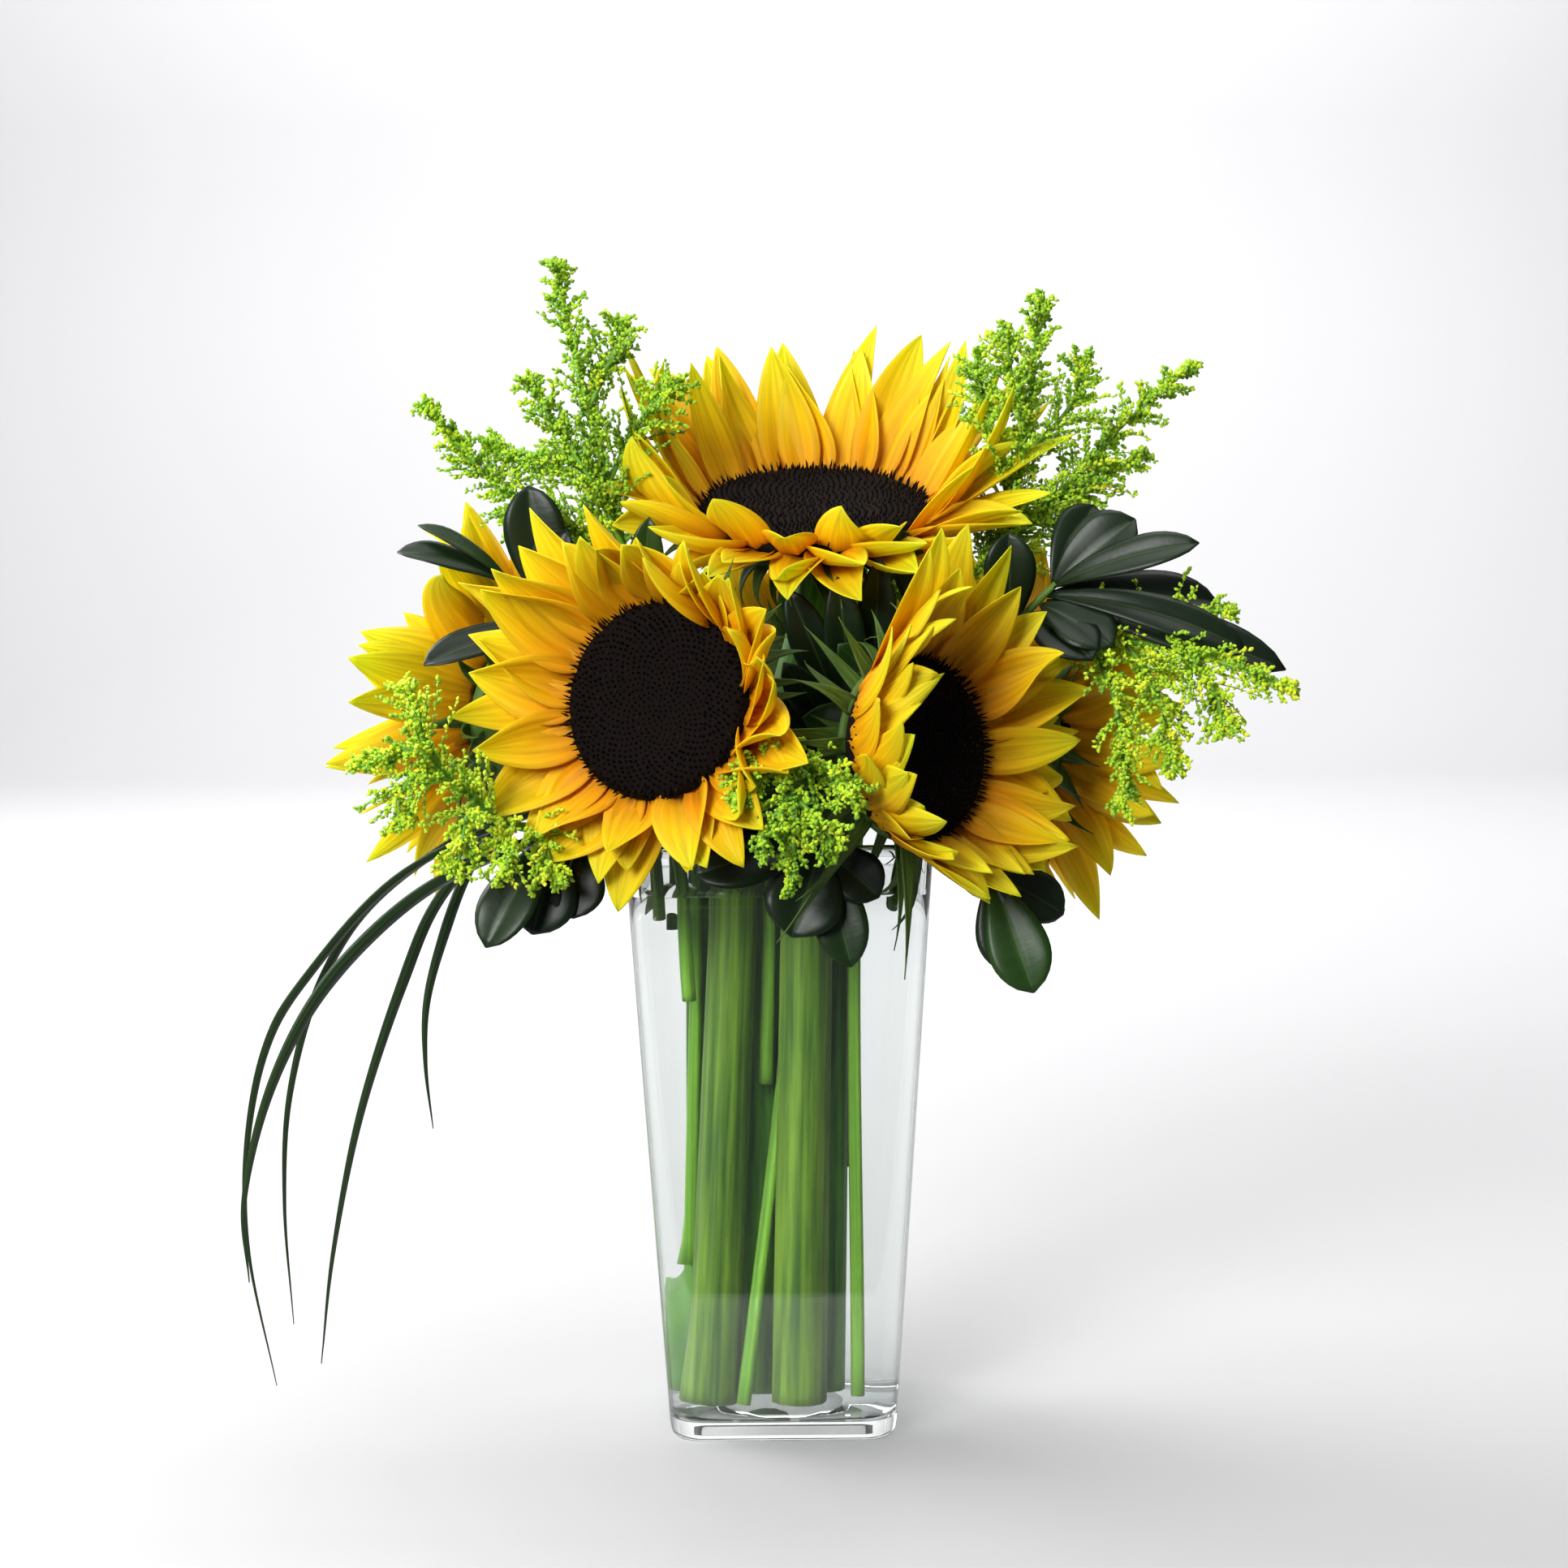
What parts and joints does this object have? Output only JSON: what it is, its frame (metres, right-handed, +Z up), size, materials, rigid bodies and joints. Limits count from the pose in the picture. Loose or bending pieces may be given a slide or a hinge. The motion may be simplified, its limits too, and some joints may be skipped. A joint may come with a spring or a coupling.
{
  "type": "sunflowers in a vase",
  "caption": "Cut sunflowers with goldenrod, leafy sprigs and lily grass, standing in water in a clear square tapered glass vase.",
  "frame": {"origin": "centre of the vase's underside, on the surface it stands on", "axes": "+Z up along the vase, -Y is the front that the two front flowers face"},
  "size_m": [0.3484, 0.2321, 0.3982],
  "materials": {
    "glass": "clear, polished",
    "water": "clear water, still surface",
    "stems": "matt, finely furrowed plant stem",
    "bracts": "matt, hairy green leaf",
    "petals": "soft satin, lets light through",
    "discs": "matt, bristly dark brown",
    "goldenrod": "matt, small buds",
    "leaves": "glossy, leathery",
    "grass": "satin"
  },
  "bodies": {
    "root": {"vase": "glass", "water": "water", "sunflower_top_stem": "stems", "sunflower_top_bracts": "bracts", "sunflower_top_petals": "petals", "sunflower_top_disc": "discs", "sunflower_front_left_stem": "stems", "sunflower_front_left_bracts": "bracts", "sunflower_front_left_petals": "petals", "sunflower_front_left_disc": "discs", "sunflower_front_right_stem": "stems", "sunflower_front_right_bracts": "bracts", "sunflower_front_right_petals": "petals", "sunflower_front_right_disc": "discs", "sunflower_left_stem": "stems", "sunflower_left_bracts": "bracts", "sunflower_left_petals": "petals", "sunflower_left_disc": "discs", "sunflower_right_stem": "stems", "sunflower_right_bracts": "bracts", "sunflower_right_petals": "petals", "sunflower_right_disc": "discs", "sunflower_back_stem": "stems", "sunflower_back_bracts": "bracts", "sunflower_back_petals": "petals", "sunflower_back_disc": "discs", "goldenrod_top_left": "goldenrod", "goldenrod_top_right": "goldenrod", "goldenrod_right": "goldenrod", "goldenrod_lower_left": "goldenrod", "goldenrod_centre": "goldenrod", "goldenrod_back": "goldenrod", "leaves_right_upper": "leaves", "leaves_right_lower": "leaves", "leaves_centre": "leaves", "leaves_left_lower": "leaves", "leaves_left_upper": "leaves", "leaves_back_left": "leaves", "leaves_back_right": "leaves", "grass_1": "grass", "grass_2": "grass", "grass_3": "grass", "grass_4": "grass", "grass_5": "grass"}
  },
  "joints": []
}
